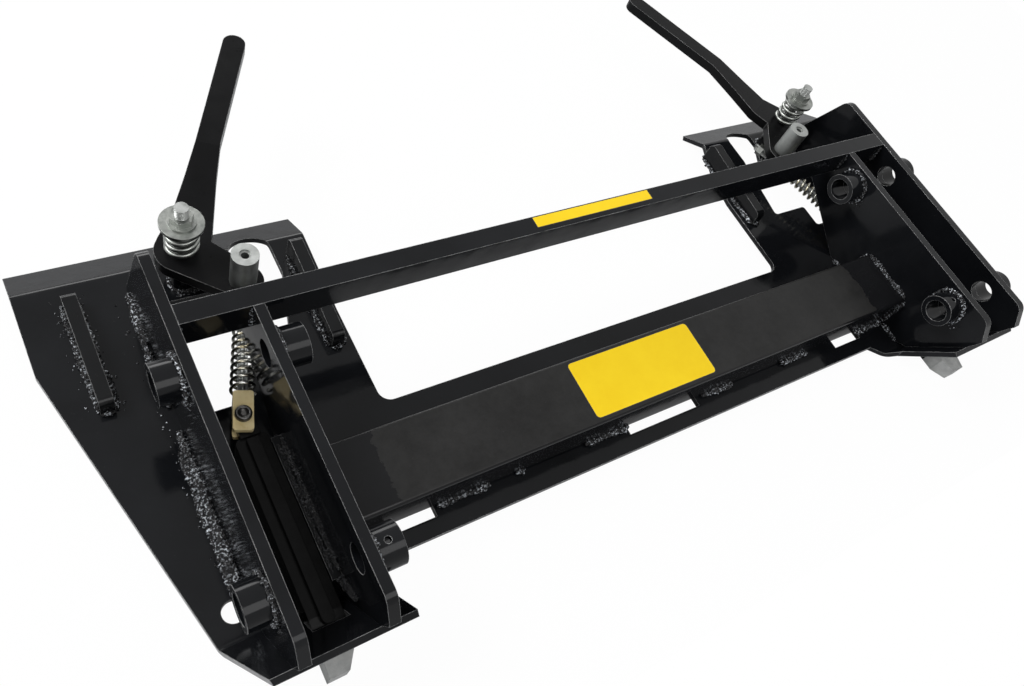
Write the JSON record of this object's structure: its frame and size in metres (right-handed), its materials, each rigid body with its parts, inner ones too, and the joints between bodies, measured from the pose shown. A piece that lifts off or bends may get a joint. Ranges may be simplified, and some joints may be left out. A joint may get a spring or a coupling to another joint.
{
  "type": "skid steer quick attach plate",
  "caption": "Wide formed steel coupler plate with a window, paired pin ears, cross tubes, and sprung hand levers that drive locking wedges through the lower lips.",
  "frame": {"origin": "on the flat front face, at the centre of the width, midway between the two pin lines", "axes": "+X across the plate, +Y up towards the handles, +Z out of the rear face"},
  "size_m": [1.13, 0.6505, 0.1453],
  "materials": {
    "black_paint": "gloss",
    "zinc": "satin",
    "yellow_zinc": "satin",
    "bare_steel": "satin"
  },
  "bodies": {
    "plate": {"main_plate": "black_paint", "lower_beam": "black_paint", "upper_cross_bar": "black_paint", "outer_ear_left": "black_paint", "inner_ear_left": "black_paint", "outer_rib_left": "black_paint", "inner_rib_left": "black_paint", "outer_guide_left": "black_paint", "inner_guide_left": "black_paint", "pivot_post_left": "black_paint", "pivot_stud_left": "zinc", "base_washer_left": "zinc", "cap_washer_left": "zinc", "pivot_nut_left": "zinc", "pivot_spring_left": "zinc", "pin_boss_outer_upper_left": "black_paint", "pin_boss_outer_lower_left": "black_paint", "pin_boss_inner_upper_left": "black_paint", "pin_boss_inner_lower_left": "black_paint", "outer_ear_right": "black_paint", "inner_ear_right": "black_paint", "outer_rib_right": "black_paint", "inner_rib_right": "black_paint", "outer_guide_right": "black_paint", "inner_guide_right": "black_paint", "pivot_post_right": "black_paint", "pivot_stud_right": "zinc", "base_washer_right": "zinc", "cap_washer_right": "zinc", "pivot_nut_right": "zinc", "pivot_spring_right": "zinc", "pin_boss_outer_upper_right": "black_paint", "pin_boss_outer_lower_right": "black_paint", "pin_boss_inner_upper_right": "black_paint", "pin_boss_inner_lower_right": "black_paint"},
    "lever_left": {"lever_left": "black_paint"},
    "swivel_left": {"swivel_boss_left": "bare_steel", "swivel_block_left": "black_paint"},
    "wedge_left": {"wedge_left": "black_paint"},
    "link_left": {"clevis_left": "yellow_zinc", "clevis_pin_left": "yellow_zinc", "link_rod_left": "zinc", "rod_nut_left": "zinc", "link_spring_left": "zinc"},
    "lever_right": {"lever_right": "black_paint"},
    "swivel_right": {"swivel_boss_right": "bare_steel", "swivel_block_right": "black_paint"},
    "wedge_right": {"wedge_right": "black_paint"},
    "link_right": {"clevis_right": "yellow_zinc", "clevis_pin_right": "yellow_zinc", "link_rod_right": "zinc", "rod_nut_right": "zinc", "link_spring_right": "zinc"}
  },
  "joints": [
    {"name": "lever_turn_left", "type": "hinge", "parent": "plate", "child": "lever_left", "pos_m": [-0.417, 0.2485, 0.05], "axis": [0, 0, 1], "range_deg": [-17, 40]},
    {"name": "swivel_turn_left", "type": "hinge", "parent": "lever_left", "child": "swivel_left", "pos_m": [-0.37602, 0.20052, 0.05], "axis": [0, 0, 1], "range_deg": [-52, 22.1]},
    {"name": "wedge_slide_left", "type": "slide", "parent": "plate", "child": "wedge_left", "axis": [0, 1, 0], "range_m": [-0.0185, 0.0432]},
    {"name": "link_turn_left", "type": "hinge", "parent": "wedge_left", "child": "link_left", "pos_m": [-0.4215, 0.073, 0.035], "axis": [0, 0, 1], "range_deg": [-12, 5.1]},
    {"name": "lever_turn_right", "type": "hinge", "parent": "plate", "child": "lever_right", "pos_m": [0.417, 0.2485, 0.05], "axis": [0, 0, 1], "range_deg": [-40, 17]},
    {"name": "swivel_turn_right", "type": "hinge", "parent": "lever_right", "child": "swivel_right", "pos_m": [0.37602, 0.20052, 0.05], "axis": [0, 0, 1], "range_deg": [-22.1, 52]},
    {"name": "wedge_slide_right", "type": "slide", "parent": "plate", "child": "wedge_right", "axis": [0, 1, 0], "range_m": [-0.0185, 0.0432]},
    {"name": "link_turn_right", "type": "hinge", "parent": "wedge_right", "child": "link_right", "pos_m": [0.4215, 0.073, 0.035], "axis": [0, 0, 1], "range_deg": [-5.1, 12]}
  ],
  "couplings": [
    {"joint": "swivel_turn_left", "follows": "lever_turn_left", "ratio": -1.285},
    {"joint": "wedge_slide_left", "follows": "lever_turn_left", "m_per_rad": 0.0615},
    {"joint": "link_turn_left", "follows": "lever_turn_left", "ratio": -0.285},
    {"joint": "swivel_turn_right", "follows": "lever_turn_right", "ratio": -1.285},
    {"joint": "wedge_slide_right", "follows": "lever_turn_right", "m_per_rad": -0.0615},
    {"joint": "link_turn_right", "follows": "lever_turn_right", "ratio": -0.285}
  ]
}
